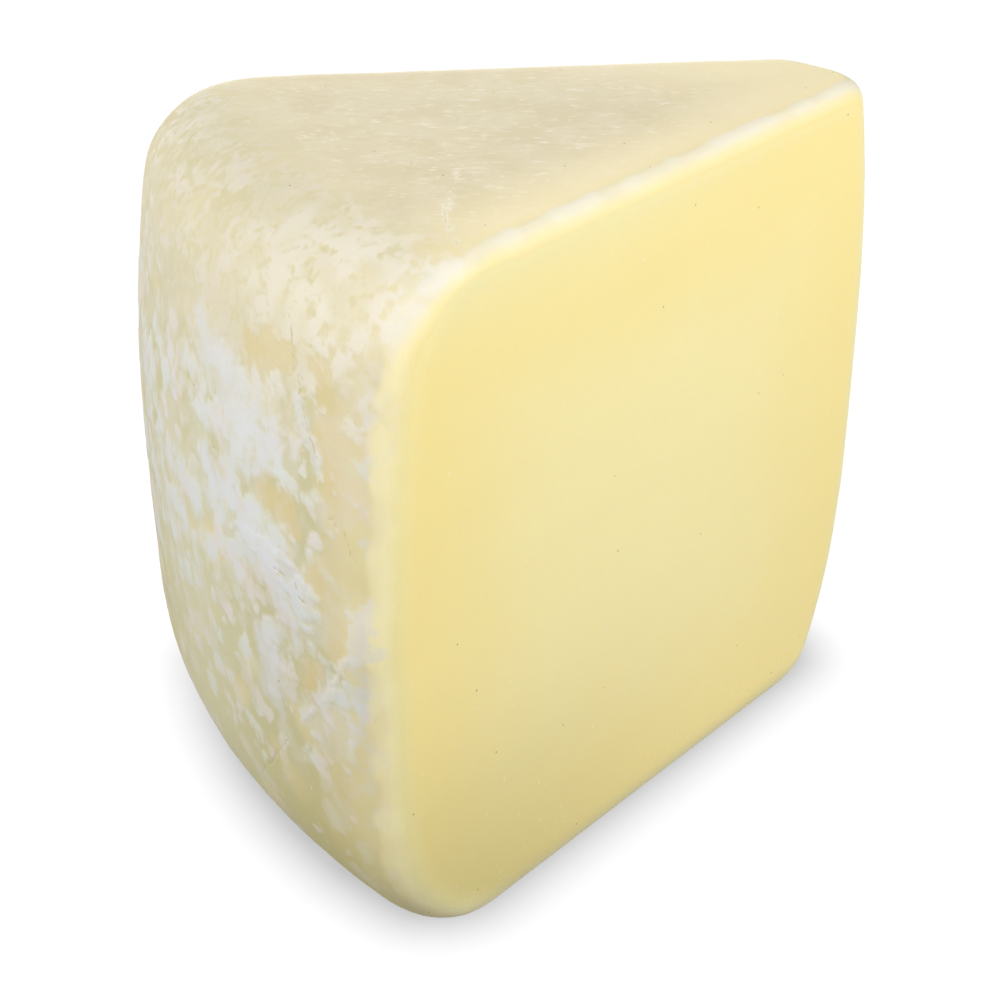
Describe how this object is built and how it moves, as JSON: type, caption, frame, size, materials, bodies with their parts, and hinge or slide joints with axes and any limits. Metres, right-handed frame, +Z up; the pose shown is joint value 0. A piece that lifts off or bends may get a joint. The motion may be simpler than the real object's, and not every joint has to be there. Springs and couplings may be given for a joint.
{
  "type": "fresh pecorino chunk",
  "caption": "Wedge of fresh sheep's milk cheese cut from a small round wheel, with a barrel-sided bloomy rind, smooth yellow cut faces and a trimmed tip. Rests on its flat underside.",
  "frame": {"origin": "on the resting face, under the middle of the chunk's box", "axes": "+Z up along the wheel's axis, +X along the shown cut towards the trimmed tip, +Y from the shown cut towards the far cut"},
  "size_m": [0.0906, 0.0658, 0.0853],
  "materials": {
    "cheese": "soft waxy sheen on a butter yellow paste, with a pale beige rind mottled by white bloom"
  },
  "bodies": {
    "root": {"pecorino_chunk": "cheese"}
  },
  "joints": []
}
